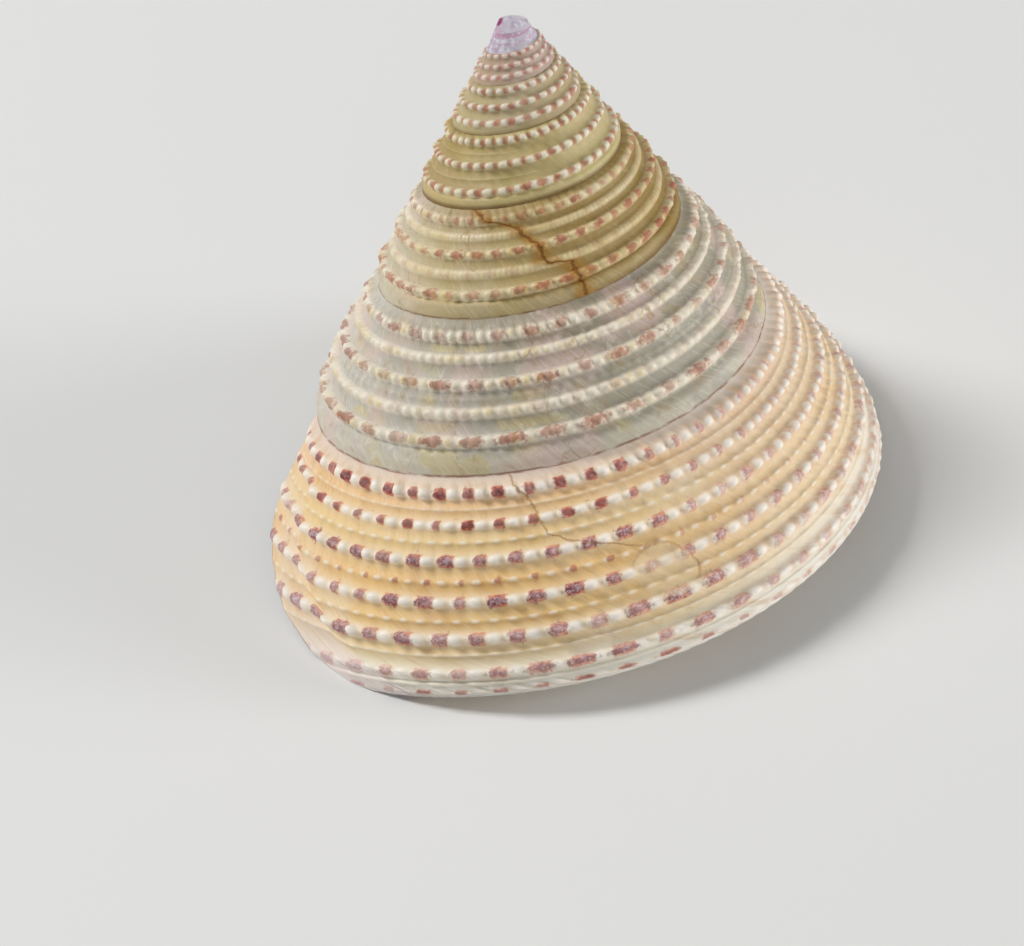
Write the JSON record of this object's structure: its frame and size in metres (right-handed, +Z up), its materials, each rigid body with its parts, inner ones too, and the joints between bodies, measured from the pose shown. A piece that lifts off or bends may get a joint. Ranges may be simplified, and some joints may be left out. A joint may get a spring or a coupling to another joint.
{
  "type": "top shell",
  "caption": "Empty top shell: a hollow, conical sea-snail shell coiled to the right, with beaded spiral cords, a nearly flat base and an open mouth.",
  "frame": {"origin": "centre of the bounding box's underside, on the surface that the shell lies on", "axes": "+Z up, with the shell lying on its base; the coiling axis rises from the base to the tip, leaning 10 degrees from +Z; the mouth is on the +X side and faces -Y and down"},
  "size_m": [0.0252, 0.0246, 0.0199],
  "materials": {
    "shell": "satin-glossy shell, ochre to cream with white beads and red-brown spots, pearly inside the mouth"
  },
  "bodies": {
    "root": {"shell": "shell"}
  },
  "joints": []
}
